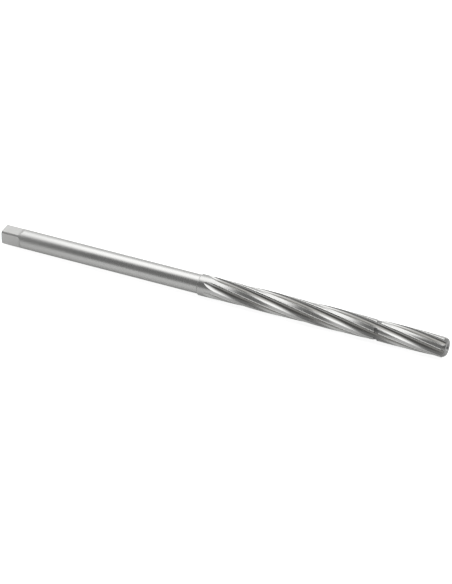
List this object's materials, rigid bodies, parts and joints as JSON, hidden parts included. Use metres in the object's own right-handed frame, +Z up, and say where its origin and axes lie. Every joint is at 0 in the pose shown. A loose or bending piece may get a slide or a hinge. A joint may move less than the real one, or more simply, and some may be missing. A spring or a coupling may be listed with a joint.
{
  "type": "machine reamer",
  "caption": "Straight-shank reamer with a drive square, right-hand spiral flutes, a ring groove and a guide section at the tip.",
  "frame": {"origin": "middle of the tool's length, on its axis", "axes": "+X along the tool toward its tip, +Z up as it is pictured, +Y away from the viewer"},
  "size_m": [0.176, 0.008, 0.008],
  "materials": {
    "reamer": "ground tool steel"
  },
  "bodies": {
    "root": {"reamer": "reamer"}
  },
  "joints": []
}
